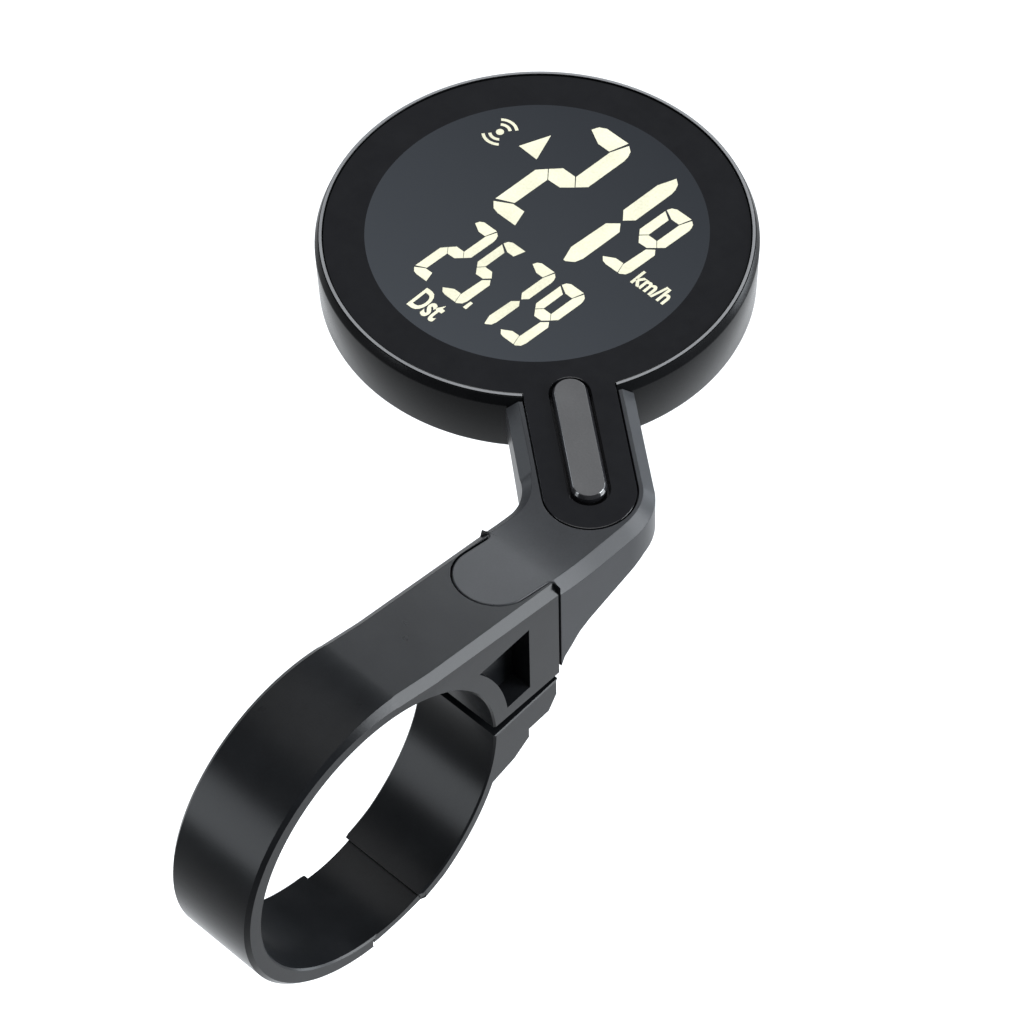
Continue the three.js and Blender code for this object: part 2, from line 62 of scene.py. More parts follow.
MM = 0.001
BORE_R = 15.9
BAND_R = 17.9
HALF_WIDTH = 5.25
TOP_SLOPE = math.radians(10.8)
SEAM_Y = 25.5
HINGE_FROM = -94.6
NECK_SKEW = 0.85
SKEW_FROM_Y = 8
TAB_X = -0.85
TAB_Y = 21.9
TAB_R = 4
TAB_GAP = 0.15
BOLT_X = -0.6
BOLT_Y = 21.8
BOLT_ROOM_R = 1.57
BOSS_ROOM_R = 2.75
BOSS_ROOM_FLOOR = 6.9
SEAT_DEPTH = 3.5
SEAT_FLARE = 0.25
WINDOW_DEPTH = 2.4
FINE_EDGE = 0.12
CLEAR_ABOVE = 22
CURVE_STEP = 1.5
SHARP_ANGLE = 32
CHARCOAL_DARK = (0.0030, 0.0033, 0.0038)
CHARCOAL_LIGHT = (0.0055, 0.0060, 0.0068)


def arc(cx, cy, radius, start, stop, step=2.0):
    """Points on an arc, angles in degrees, both ends included."""
    count = max(2, int(abs(stop - start) / step) + 1)
    turns = [math.radians(start + (stop - start) * i / (count - 1)) for i in range(count)]
    return [(cx + radius * math.cos(t), cy + radius * math.sin(t)) for t in turns]


def shell_piece(name, points, faces):
    """A piece from points in millimetres."""
    mesh = bpy.data.meshes.new(name)
    mesh.from_pydata([Vector(p) * MM for p in points], [], faces)
    mesh.update()
    piece = bpy.data.objects.new(name, mesh)
    scene.collection.objects.link(piece)
    return piece


def moulding(name, outline, low, high, along_bar=False):
    """A closed outline given thickness: upwards, or along the bar from a side view."""
    if along_bar:
        points = [(x, a, b) for x in (low, high) for a, b in outline]
    else:
        points = [(a, b, z) for z in (low, high) for a, b in outline]
    n = len(outline)
    faces = [[i, (i + 1) % n, n + (i + 1) % n, n + i] for i in range(n)]
    piece = shell_piece(name, points, faces + [list(range(n))[::-1], list(range(n, 2 * n))])
    face_outwards(piece)
    return piece


def face_outwards(piece):
    shape = bmesh.new()
    shape.from_mesh(piece.data)
    bmesh.ops.recalc_face_normals(shape, faces=shape.faces)
    shape.to_mesh(piece.data)
    shape.free()


def settle(piece):
    """Makes a piece's modifiers part of its mesh."""
    bpy.context.view_layer.update()
    graph = bpy.context.evaluated_depsgraph_get()
    mesh = bpy.data.meshes.new_from_object(piece.evaluated_get(graph))
    piece.modifiers.clear()
    piece.data = mesh
    mesh.name = piece.name


def carve(piece, *tools, how="DIFFERENCE"):
    """Cuts each tool from the piece, or joins or keeps what they share."""
    for tool in tools:
        change = piece.modifiers.new("carve", "BOOLEAN")
        change.operation = how
        change.solver = "EXACT"
        change.object = tool
    settle(piece)
    for tool in tools:
        bpy.data.objects.remove(tool)


def inset_corner(before, corner, after, first, second):
    """Where two edges meet once each has moved inwards by its own width."""
    d1, d2 = (corner - before).normalized(), (after - corner).normalized()
    n1, n2 = Vector((-d1.y, d1.x)), Vector((-d2.y, d2.x))
    across = d1.x * d2.y - d1.y * d2.x
    if abs(across) < 0.02:
        return corner + (n1 + n2).normalized() * (first + second) / 2
    start, goal = corner + n1 * first, corner + n2 * second
    step = ((goal - start).x * d2.y - (goal - start).y * d2.x) / across
    return start + d1 * step


def chamfered_moulding(name, outline, low, high, width_at, along_bar=False, both_ends=True):
    """A moulding whose end edges are chamfered; width_at(a, b) gives each edge's width."""
    corners = [Vector(p) for p in outline]
    n = len(corners)
    edge = [width_at(*((corners[i] + corners[(i + 1) % n]) / 2)) for i in range(n)]
    points, faces, rows = [], [], []

    def add(place, level):
        points.append((level, place.x, place.y) if along_bar else (place.x, place.y, level))
        return len(points) - 1

    for i in range(n):
        before, here, after = corners[i - 1], corners[i], corners[(i + 1) % n]
        turn = (here - before).angle(after - here)
        widths = [edge[i - 1], edge[i]]
        if turn < 0.4 or widths[0] == widths[1]:
            widths = [sum(widths) / 2]
        inner = inset_corner(before, here, after, widths[0], widths[-1])
        top = add(inner, high)
        tops = [add(here, high - w) for w in widths]
        bottom = add(inner if both_ends else here, low)
        bottoms = [add(here, low + w) for w in widths] if both_ends else [bottom] * len(widths)
        rows.append((top, tops, bottom, bottoms, widths))
    for i in range(n):
        top, tops, bottom, bottoms, widths = rows[i]
        next_top, next_tops, next_bottom, next_bottoms, next_widths = rows[(i + 1) % n]
        faces.append([top, tops[-1], next_tops[0], next_top])
        if both_ends:
            faces.append([bottom, next_bottom, next_bottoms[0], bottoms[-1]])
        here = [tops[-1]] + ([tops[0]] if widths[0] > widths[-1] else [])
        under = ([bottoms[0]] if both_ends and widths[0] > widths[-1] else []) + [bottoms[-1]]
        there = ([next_tops[-1]] if next_widths[-1] > next_widths[0] else []) + [next_tops[0]]
        below = [next_bottoms[0]]
        if both_ends and next_widths[-1] > next_widths[0]:
            below.append(next_bottoms[-1])
        faces.append(here + under + below + there)
        if len(tops) == 2:
            faces.append([top, tops[0], tops[1]])
            if both_ends:
                faces.append([bottom, bottoms[1], bottoms[0]])
    faces += [[row[0] for row in rows], [row[2] for row in reversed(rows)]]
    piece = shell_piece(name, points, faces)
    face_outwards(piece)
    return piece


def slice_across(piece, normal, places):
    """Adds edges where planes cross the piece, so that it can bend there."""
    shape = bmesh.new()
    shape.from_mesh(piece.data)
    for place in places:
        parts = shape.verts[:] + shape.edges[:] + shape.faces[:]
        middle = Vector(normal) * place * MM
        bmesh.ops.bisect_plane(shape, geom=parts, plane_co=middle, plane_no=normal)
    shape.to_mesh(piece.data)
    shape.free()


def true_flats(piece):
    """Smooth shading that follows the largest faces, so that flats stay flat in the light."""
    smooth(piece)
    flats = piece.modifiers.new("flats", "WEIGHTED_NORMAL")
    flats.keep_sharp = True
    settle(piece)


def smooth(piece, angle=SHARP_ANGLE):
    piece.data.shade_smooth()
    piece.data.set_sharp_from_angle(angle=math.radians(angle))


def neck_shift(y):
    turned = (y - SKEW_FROM_Y) / (SEAM_Y - SKEW_FROM_Y)
    return NECK_SKEW * min(max(turned, 0), 1)


def turn_aside(piece):
    """The clamp's neck leans over towards the display."""
    for vertex in piece.data.vertices:
        vertex.co.x -= neck_shift(vertex.co.y / MM) * MM


def top_height(y):
    return (BAND_R - y * math.sin(TOP_SLOPE)) / math.cos(TOP_SLOPE)


def finish_of(name, dark, light, roughness, grain=5200, relief=0.006, mottling=260, gloss=0.5):
    """A moulded or metal surface: colour and roughness drift a little, and fine grain stands up."""
    material = bpy.data.materials.new(name)
    material.use_nodes = True
    nodes, links = material.node_tree.nodes, material.node_tree.links
    surface = nodes["Principled BSDF"]
    surface.inputs["Specular IOR Level"].default_value = gloss
    place = nodes.new("ShaderNodeTexCoord")
    drift = nodes.new("ShaderNodeTexNoise")
    drift.inputs["Scale"].default_value = mottling
    drift.inputs["Detail"].default_value = 4
    fine = nodes.new("ShaderNodeTexNoise")
    fine.inputs["Scale"].default_value = grain
    fine.inputs["Detail"].default_value = 2
    for pattern in (drift, fine):
        links.new(place.outputs["Object"], pattern.inputs["Vector"])
    colours = nodes.new("ShaderNodeValToRGB")
    colours.color_ramp.elements[0].color = (*dark, 1)
    colours.color_ramp.elements[0].position = 0.3
    colours.color_ramp.elements[1].color = (*light, 1)
    colours.color_ramp.elements[1].position = 0.7
    both = nodes.new("ShaderNodeMath")
    both.operation = "MULTIPLY_ADD"
    both.inputs[1].default_value = 0.55
    half = nodes.new("ShaderNodeMath")
    half.operation = "MULTIPLY"
    half.inputs[1].default_value = 0.45
    links.new(fine.outputs["Fac"], half.inputs[0])
    links.new(drift.outputs["Fac"], both.inputs[0])
    links.new(half.outputs[0], both.inputs[2])
    links.new(both.outputs[0], colours.inputs["Fac"])
    links.new(colours.outputs["Color"], surface.inputs["Base Color"])
    rough = nodes.new("ShaderNodeMapRange")
    rough.inputs["To Min"].default_value = roughness - 0.015
    rough.inputs["To Max"].default_value = roughness + 0.015
    links.new(drift.outputs["Fac"], rough.inputs["Value"])
    links.new(rough.outputs["Result"], surface.inputs["Roughness"])
    bump = nodes.new("ShaderNodeBump")
    bump.inputs["Strength"].default_value = 0.325
    bump.inputs["Distance"].default_value = relief * MM
    links.new(fine.outputs["Fac"], bump.inputs["Height"])
    links.new(bump.outputs["Normal"], surface.inputs["Normal"])
    return material


def band_outline():
    slope = math.degrees(TOP_SLOPE)
    under, under_front = 0.75, 0.15
    bore_end = math.degrees(math.asin(under / BORE_R))
    outline = [(SEAM_Y, under_front), (SEAM_Y, top_height(SEAM_Y))]
    outline += arc(0, 0, BAND_R, 90 - slope, 360 + HINGE_FROM, CURVE_STEP)
    outline += arc(0, 0, BORE_R, 360 + HINGE_FROM, bore_end, CURVE_STEP)
    return outline


def band_edge_width(y, z):
    """Wide along the neck's top, narrower round the band, and fine at the bore and seam."""
    if y > SEAM_Y - 0.05 or z < 1 and y > BORE_R:
        return FINE_EDGE
    if math.hypot(y, z) < BORE_R + 0.1:
        return 0.18
    share = min(max((y + 12) / 24, 0), 1)
    return 0.42 + 0.5 * share * share * (3 - 2 * share)


def window_tool(low, high):
    front, ceiling, sill = 21.1, 11.2, 2.2
    rear = [math.degrees(math.asin(z / BAND_R)) for z in (ceiling, sill)]
    outline = [(front, sill), (front, ceiling)] + arc(0, 0, BAND_R, rear[0], rear[1])
    tool = moulding("window_tool", outline, low, high, along_bar=True)
    turn_aside(tool)
    return tool


def seat_tool(radius, fillet, depth):
    """Round at the rear, straight sides, flared where the band's two fingers end."""
    side, flare = TAB_X + radius, SEAM_Y - fillet
    right = arc(side + fillet, flare, fillet, 180, 90, 15) + [(side + fillet, 30)]
    left = [(2 * TAB_X - x, y) for x, y in reversed(right)]
    outline = arc(TAB_X, TAB_Y, radius, 180, 360, 6) + right + left
    return moulding("seat_tool", outline, depth, CLEAR_ABOVE)


def rod(name, x, y, radius, low, high, step=9):
    return moulding(name, arc(x, y, radius, 0, 360 - step, step), low, high)


charcoal = finish_of("satin_charcoal_nylon", CHARCOAL_DARK, CHARCOAL_LIGHT, 0.28, gloss=0.09)
seat_floor = top_height(SEAM_Y) - SEAT_DEPTH
band = chamfered_moulding("clamp_band", band_outline(), -HALF_WIDTH, HALF_WIDTH,
                          band_edge_width, along_bar=True)
slice_across(band, (0, 1, 0), [SKEW_FROM_Y])
turn_aside(band)
carve(
    band,
    seat_tool(TAB_R + TAB_GAP, SEAT_FLARE, seat_floor),
    window_tool(HALF_WIDTH - WINDOW_DEPTH, HALF_WIDTH + 1),
    window_tool(-HALF_WIDTH - 1, WINDOW_DEPTH - HALF_WIDTH),
    rod("bolt_room", BOLT_X, BOLT_Y, BOLT_ROOM_R, -2, CLEAR_ABOVE),
    rod("boss_room", BOLT_X, BOLT_Y, BOSS_ROOM_R, BOSS_ROOM_FLOOR, CLEAR_ABOVE),
)
true_flats(band)
band.data.materials.append(charcoal)
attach(band, "frame")
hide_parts("clamp_body")

# ---- thread insert -----------------------------------------------------------------------
# A turned brass bush pressed into the arm's boss. It takes the clamp bolt's thread.

brass = finish_of("turned_brass", (0.55, 0.38, 0.13), (0.68, 0.48, 0.19), 0.3, grain=2600)
brass.node_tree.nodes["Principled BSDF"].inputs["Metallic"].default_value = 1


def refinish(material, *nodes):
    """A better finish on parts that keep the shape they have."""
    for node in nodes:
        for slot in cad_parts[node].material_slots:
            slot.material = material


refinish(brass, "thread_insert")

# ---- lower jaw ---------------------------------------------------------------------------
# The lower half of the clamp, in the same nylon. It swings on the hinge strip, and its
# front lug is slotted for the bolt, so that it can turn without bending the bolt.

JAW_R = 17.7
JAW_TOP = -0.55
HINGE_TO = -73.6
LUG_BOTTOM = -4.6
JAW_ARC_END = -27
CLEAR_BELOW = -12


def jaw_outline():
    front = SEAM_Y - 0.3
    bore_end = math.degrees(math.asin(JAW_TOP / BORE_R))
    outline = [(front, JAW_TOP)] + arc(0, 0, BORE_R, bore_end, HINGE_TO, CURVE_STEP)
    outline += arc(0, 0, JAW_R, HINGE_TO, JAW_ARC_END, CURVE_STEP)
    outline += [(18.8, -7.4), (21.4, -5.9), (21.4, LUG_BOTTOM), (23.9, LUG_BOTTOM)]
    return outline + [(front, -2.8)]


def jaw_edge_width(y, z):
    if z > JAW_TOP - 0.05:
        return FINE_EDGE
    if math.hypot(y, z) < BORE_R + 0.1:
        return 0.2
    return 0.3 if y > 21.5 else 0.6


def cross_slot(name, rear, front, radius, low, high):
    outline = arc(BOLT_X, front, radius, 0, 180, 12) + arc(BOLT_X, rear, radius, 180, 360, 12)
    return moulding(name, outline, low, high)


jaw = chamfered_moulding("lower_jaw_shell", jaw_outline(), -HALF_WIDTH, HALF_WIDTH,
                         jaw_edge_width, along_bar=True)
slice_across(jaw, (0, 1, 0), [SKEW_FROM_Y])
turn_aside(jaw)
carve(
    jaw,
    cross_slot("bolt_slot", BOLT_Y - 2.2, BOLT_Y + 0.1, 1.4, CLEAR_BELOW, 5),
    cross_slot("head_room", BOLT_Y - 1.5, BOLT_Y + 0.3, 2.5, CLEAR_BELOW, LUG_BOTTOM),
)
true_flats(jaw)
jaw.data.materials.append(charcoal)
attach(jaw, "jaw")
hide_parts("lower_jaw")

# ---- hinge strip -------------------------------------------------------------------------
# A thin bridge of the nylon itself joins the two halves of the clamp.
# The real one bends as the jaw swings; this one is a fixed mesh.

HINGE_INNER_R = 16.4
HINGE_OUTER_R = 17.4


def hinge_strip():
    half, around, through = HALF_WIDTH - 0.4, 28, 14
    points, faces = [], []
    start, stop = HINGE_FROM - 0.25, HINGE_TO + 0.25
    for i in range(around + 1):
        share = i / around
        turn = math.radians(start + (stop - start) * share)
        waist = 0.12 * math.sin(math.pi * share)
        for j in range(through + 1):
            x = -half + 2 * half * j / through
            for radius in (HINGE_INNER_R + waist, HINGE_OUTER_R - waist):
                points.append((x, radius * math.cos(turn), radius * math.sin(turn)))
    row = 2 * (through + 1)
    for i in range(around):
        for j in range(through):
            a, b = i * row + 2 * j, (i + 1) * row + 2 * j
            faces += [[a, a + 2, b + 2, b], [a + 1, b + 1, b + 3, a + 3]]
        for j in (0, through):
            a, b = i * row + 2 * j, (i + 1) * row + 2 * j
            faces.append([a, b, b + 1, a + 1])
    for i in (0, around):
        for j in range(through):
            a = i * row + 2 * j
            faces.append([a, a + 1, a + 3, a + 2])
    strip = shell_piece("hinge_strip", points, faces)
    face_outwards(strip)
    smooth(strip)
    return strip


strip = hinge_strip()
strip.data.materials.append(charcoal)
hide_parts("hinge_web")
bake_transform(strip)

# ---- clamp bolt --------------------------------------------------------------------------
# A socket-head screw of bright zinc-plated steel, put in from below.

steel = finish_of("plated_steel", (0.42, 0.43, 0.44), (0.56, 0.57, 0.58), 0.28, grain=3000)
steel.node_tree.nodes["Principled BSDF"].inputs["Metallic"].default_value = 1
refinish(steel, "clamp_bolt")

# ---- arm ---------------------------------------------------------------------------------
# One moulding carries the display out beside the bar: a tab let into the clamp, a neck that
# follows the clamp's slope and flattens out, and a wide end wrapped round the lens's tongue.

unit_low, unit_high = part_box("case_body")
UNIT_X = (unit_low.x + unit_high.x) / 2 / MM
UNIT_Y = (unit_low.y + unit_high.y) / 2 / MM
UNIT_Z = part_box("lens")[1].z / MM
TONGUE_ANGLE = math.radians(-37.5)
TONGUE_END = 34.4
TONGUE_R = 4.65
NECK_R = 6.4
NECK_BOTTOM = -5.2
ARM_DEPTH = 16
TAB_THICKNESS = 3.2
LENS_LEDGE = -1.5
CASE_R = 22.6
ARM_TOP_FLAT_FROM = SEAM_Y + 2 * (top_height(SEAM_Y) - UNIT_Z) / math.tan(TOP_SLOPE)


def on_unit(s, n):
    """From along and across the tongue to the whole object's X and Y."""
    cos, sin = math.cos(TONGUE_ANGLE), math.sin(TONGUE_ANGLE)
    return (UNIT_X + s * cos - n * sin, UNIT_Y + s * sin + n * cos)


def quadratic(p, q, r, count=14):
    """The points of a curve from p to r that is drawn towards q, without p."""
    steps = [i / count for i in range(1, count + 1)]
    return [tuple((1 - t) ** 2 * a + 2 * t * (1 - t) * b + t * t * c for a, b, c in zip(p, q, r))
            for t in steps]


def arm_plan():
    near, far = HALF_WIDTH - NECK_SKEW, -HALF_WIDTH - NECK_SKEW - 0.1
    rear = SEAM_Y + 0.22
    shoulder, foot = 0.6, TAB_X
    near_bend, far_corner = on_unit(34.2, NECK_R), on_unit(31, -NECK_R)
    outline = [on_unit(20, NECK_R), near_bend]
    outline += quadratic(near_bend, (near, SEAM_Y + 14.4), (near, SEAM_Y + 10))
    outline += [(near, rear), (foot + TAB_R + shoulder, rear)]
    outline += arc(foot + TAB_R + shoulder, rear - shoulder, shoulder, 90, 180, 15)[1:]
    outline += arc(foot, TAB_Y, TAB_R, 0, -180, 6)
    outline += arc(foot - TAB_R - shoulder, rear - shoulder, shoulder, 0, 90, 15)[:-1]
    outline += [(foot - TAB_R - shoulder, rear), (far, rear), (far, SEAM_Y + 4)]
    outline += quadratic((far, SEAM_Y + 4), (far, SEAM_Y + 6.6), far_corner)
    return outline + [on_unit(20, -NECK_R)]


def arm_edge_width(x, y):
    """Wide chamfers down both sides, and only a fine one round the tab and the seam."""
    if y < SEAM_Y + 0.25:
        return FINE_EDGE
    return 0.95 if x < -6 and y < SEAM_Y + 8 else 1.2


def arm_rise(y):
    """How far the arm's top stands above the lens face."""
    if y <= SEAM_Y:
        return top_height(y) - UNIT_Z
    start = top_height(SEAM_Y) - UNIT_Z
    run = ARM_TOP_FLAT_FROM - SEAM_Y
    return start * max(0, (ARM_TOP_FLAT_FROM - y) / run) ** 2


def underside_tool():
    """What lies under the neck, from the seam to the unit, and under the tab."""
    profile = [(SEAM_Y + 0.2, 0.9), (26.2, 2), (27.2, 2.9), (28.3, 4), (29.7, 4.75)]
    profile += [(32.6, 5.8), (35.4, 6.8), (37.6, UNIT_Z + NECK_BOTTOM)]
    tab_bottom = top_height(SEAM_Y) - TAB_THICKNESS
    outline = [(10, tab_bottom), (SEAM_Y + 0.2, tab_bottom)]
    outline += profile + [(70, UNIT_Z + NECK_BOTTOM), (70, -30), (10, -30)]
    return moulding("underside_tool", outline, -50, 40, along_bar=True)


def tongue_slot(name, start, stop, radius, low, high, step=6):
    """A round-ended slot along the tongue."""
    ends = arc(stop, 0, radius, -90, 90, step) + arc(start, 0, radius, 90, 270, step)
    return moulding(name, [on_unit(s, n) for s, n in ends], UNIT_Z + low, UNIT_Z + high)


def ease_edges(piece, width):
    """The small radius that a mould leaves on every corner."""
    bevel = piece.modifiers.new("ease", "BEVEL")
    bevel.limit_method = "ANGLE"
    bevel.angle_limit = math.radians(SHARP_ANGLE)
    bevel.width = width * MM
    bevel.segments = 3
    bevel.use_clamp_overlap = False
    settle(piece)
    true_flats(piece)


arm = chamfered_moulding("cranked_arm", arm_plan()[::-1], -ARM_DEPTH, 0, arm_edge_width,
                         both_ends=False)
tab_slices = [17 + i for i in range(9)]
neck_slices = [SEAM_Y + 0.5 * i for i in range(14)]
slice_across(arm, (0, 1, 0), tab_slices + neck_slices)
for vertex in arm.data.vertices:
    vertex.co.z += (UNIT_Z + arm_rise(vertex.co.y / MM)) * MM
carve(arm, underside_tool())
carve(arm, rod("arm_boss", BOLT_X, BOLT_Y, 2.45, 7.2, 11), how="UNION")
carve(
    arm,
    rod("case_room", UNIT_X, UNIT_Y, CASE_R + 0.12, -20, 30, 2),
    tongue_slot("lens_window", 15, TONGUE_END + 0.2, TONGUE_R + 0.15, LENS_LEDGE, 5),
    tongue_slot("channel", 15, TONGUE_END - 1, 3.9, -4.45, 0),
    rod("insert_room", BOLT_X, BOLT_Y, 2.0, 6, 12.2),
)
ease_edges(arm, 0.04)
# Painted light: the arm is the same nylon as the clamp band, given a lighter base colour for the
# light its top catches.
arm_painted_lighter = finish_of("satin_nylon_painted_lighter", (0.014, 0.0148, 0.0162), (0.019, 0.020, 0.022), 0.36,
                     gloss=0.1)
arm.data.materials.append(arm_painted_lighter)
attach(arm, "frame")
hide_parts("arm")

# ---- case shell --------------------------------------------------------------------------
# A turned-looking cup, moulded in dark plastic: a narrow flat rim round the lens, a fine
# step, a brighter shoulder, and a plain wall that draws in at the foot.

CASE_BOTTOM = -7.4


def turned_ring(name, outline, steps=192):
    """A closed (radius, height) outline taken round the unit's middle."""
    points, faces = [], []
    n = len(outline)
    for i in range(steps):
        turn = 2 * math.pi * i / steps
        points += [(UNIT_X + r * math.cos(turn), UNIT_Y + r * math.sin(turn), UNIT_Z + z)
                   for r, z in outline]
        a, b = i * n, (i + 1) % steps * n
        faces += [[a + j, b + j, b + (j + 1) % n, a + (j + 1) % n] for j in range(n)]
    piece = shell_piece(name, points, faces)
    face_outwards(piece)
    return piece


def block_on_unit(name, s0, s1, n0, n1, low, high):
    corners = [on_unit(s0, n0), on_unit(s1, n0), on_unit(s1, n1), on_unit(s0, n1)]
    return moulding(name, corners, UNIT_Z + low, UNIT_Z + high)


shell = turned_ring("case_shell", [
    (21.8, LENS_LEDGE), (21.8, 0.1), (21.84, 0.15), (22.13, 0.15), (22.15, 0.04),
    (22.19, 0.05), (22.22, 0.03), (22.25, -0.03), (22.55, -0.78), (22.59, -0.9),
    (22.6, -1.05), (22.4, -7.0), (22.3, -7.3), (22.0, CASE_BOTTOM), (21.2, CASE_BOTTOM),
    (21.2, LENS_LEDGE - 1), (20.5, LENS_LEDGE - 0.5), (20.5, LENS_LEDGE),
])
carve(shell, block_on_unit("tongue_gate", 15, 30, -4.72, 4.72, NECK_BOTTOM - 0.3, 5))
smooth(shell, 24)
case_black = finish_of("case_charcoal", (0.0020, 0.0021, 0.0023), (0.0036, 0.0038, 0.0042), 0.24,
                       gloss=0.05)
# Painted light: the rim's flat top is the case's own dark plastic, given a lighter grey for the
# overhead light it catches.
painted_lit_rim = finish_of("case_rim_painted_light", (0.085, 0.086, 0.089), (0.11, 0.112, 0.116), 0.4,
                     gloss=0.25)
shell.data.materials.append(case_black)
shell.data.materials.append(painted_lit_rim)
# The painted lighter grey goes on the faces that look up, above the lens face.
for face in shell.data.polygons:
    if face.normal.z > 0.9 and face.center.z / MM > UNIT_Z + 0.1:
        face.material_index = 1
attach(shell, "frame")
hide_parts("case_body")

# ---- lens --------------------------------------------------------------------------------
# A clear acrylic plate, printed black behind except for a smoky window over the display, which
# carries a painted reflection.
# Its tongue reaches down the arm and is pierced by the mode key's slot.

WINDOW_R = 17.5
LENS_R = 21.72
LENS_THICKNESS = 1.2
KEY_SLOT_R = 2.1
CAP_FROM = 22
CAP_TO = 34
CAP_R = 1.78


def lens_outline(radius, half):
    meet = math.degrees(math.asin(half / radius))
    ends = arc(0, 0, radius, meet, 360 - meet, CURVE_STEP)
    ends += arc(TONGUE_END + 0.2, 0, half, -90, 90, 5)
    return [on_unit(s, n) for s, n in ends]


def lens_finish():
    """Black print with a round smoky window, under polished acrylic; a painted reflection makes the
    window lighter at -Y and darker at +Y.
    """
    material = finish_of("printed_acrylic_painted_sheen", (0.0038, 0.0039, 0.0046), (0.0052, 0.0054, 0.0062),
                         0.12, grain=900, relief=0.0002, gloss=0.25)
    nodes, links = material.node_tree.nodes, material.node_tree.links
    place = nodes["Texture Coordinate"]
    centred = nodes.new("ShaderNodeMapping")
    centred.inputs["Location"].default_value = (-UNIT_X * MM, -UNIT_Y * MM, 0)
    flat = nodes.new("ShaderNodeVectorMath")
    flat.operation = "MULTIPLY"
    flat.inputs[1].default_value = (1, 1, 0)
    reach = nodes.new("ShaderNodeVectorMath")
    reach.operation = "LENGTH"
    inside = nodes.new("ShaderNodeMath")
    inside.operation = "LESS_THAN"
    inside.inputs[1].default_value = WINDOW_R * MM
    split = nodes.new("ShaderNodeSeparateXYZ")
    # Painted reflection: the window's colour runs from lighter at -Y to darker at +Y, standing in
    # for studio light on the lens.
    shade = nodes.new("ShaderNodeMapRange")
    shade.inputs["From Min"].default_value = -WINDOW_R * MM
    shade.inputs["From Max"].default_value = WINDOW_R * MM
    window_tint_painted_sheen = nodes.new("ShaderNodeValToRGB")
    window_tint_painted_sheen.color_ramp.elements[0].color = (0.022, 0.0245, 0.028, 1)
    window_tint_painted_sheen.color_ramp.elements[1].color = (0.012, 0.0135, 0.016, 1)
    choose = nodes.new("ShaderNodeMix")
    choose.data_type = "RGBA"
    surface = nodes["Principled BSDF"]
    printed = surface.inputs["Base Color"].links[0].from_socket
    links.new(place.outputs["Object"], centred.inputs["Vector"])
    links.new(centred.outputs["Vector"], flat.inputs[0])
    links.new(flat.outputs["Vector"], reach.inputs[0])
    links.new(reach.outputs["Value"], inside.inputs[0])
    links.new(centred.outputs["Vector"], split.inputs["Vector"])
    links.new(split.outputs["Y"], shade.inputs["Value"])
    links.new(shade.outputs["Result"], window_tint_painted_sheen.inputs["Fac"])
    links.new(inside.outputs[0], choose.inputs["Factor"])
    links.new(printed, choose.inputs["A"])
    links.new(window_tint_painted_sheen.outputs["Color"], choose.inputs["B"])
    links.new(choose.outputs["Result"], surface.inputs["Base Color"])
    return material


lens = moulding("lens_plate", lens_outline(LENS_R, TONGUE_R - 0.03), UNIT_Z - LENS_THICKNESS,
                UNIT_Z)
carve(lens, tongue_slot("key_slot", CAP_FROM - 0.1, CAP_TO + 0.2, KEY_SLOT_R, -3, 3))
ease_edges(lens, 0.08)
lens.data.materials.append(lens_finish())
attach(lens, "frame")
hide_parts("lens")

# ---- display marks -----------------------------------------------------------------------
# Liquid-crystal segments: a speed with its unit, a trip distance, a pace mark and the sensor
# sign. The real ones show through the lens, and these stand a hair proud of it.

MARK_LOW, MARK_HIGH = -0.03, 0.012
SEGMENTS = {
    "a": [(0, .926), (.056, .974), (.19, 1), (.74, 1), (.63, .866), (.35, .866)],
    "b": [(.79, .988), (.915, .957), (.975, .914), (1, .871), (1, .552), (.84, .495),
          (.66, .563), (.66, .864)],
    "c": [(.67, .405), (.86, .467), (1, .41), (1, .092), (.955, .036), (.816, 0), (.765, 0),
          (.64, .11)],
    "d": [(.02, .056), (.153, .012), (.296, 0), (.74, 0), (.61, .124), (.33, .122)],
    "e": [(0, .08), (0, .43), (.147, .49), (.335, .42), (.33, .135)],
    "f": [(0, .905), (.31, .84), (.32, .568), (.14, .504), (0, .56)],
    "g": [(.16, .494), (.334, .56), (.64, .56), (.83, .491), (.64, .427), (.345, .424)],
}
DIGITS = {"1": "bc", "2": "abged", "5": "afgcd", "7": "abc", "9": "abcdfg"}


def digit_outlines(digit, left, foot, width, height, slant):
    """The lit segments of one digit, in the unit's own axes."""
    return [[(left + u * width + slant * v * height, foot + v * height) for u, v in SEGMENTS[s]]
            for s in DIGITS[digit]]


def arc_band(cx, cy, radius, half, start, stop):
    return arc(cx, cy, radius + half, start, stop, 8) + arc(cx, cy, radius - half, stop, start, 8)


def display_outlines():
    outlines = digit_outlines("2", -6.2, -1.0, 5.5, 16.1, 0.038)
    outlines += digit_outlines("1", 0.45, -1.0, 5.5, 16.1, 0.038)
    outlines += digit_outlines("9", 7.1, 1.5, 3.62, 10.35, 0.055)
    for digit, left in zip("2579", (-5.7, -1.68, 2.4, 6.48)):
        outlines += digit_outlines(digit, left, -12.55, 3.15, 9.7, 0.047)
    outlines.append([(1.73, -12.5), (1.78, -11.45), (2.12, -11.45), (2.16, -12.5)])
    outlines.append([(-9.48, 7.16), (-8.11, 10.48), (-6.86, 7.04)])
    sign_x, sign_y = -12.27, 7.23
    outlines.append(arc(sign_x, sign_y, 0.42, 0, 345, 15))
    for radius in (1.05, 1.75):
        for middle in (90, 270):
            outlines.append(arc_band(sign_x, sign_y, radius, 0.17, middle - 40, middle + 40))
    return outlines


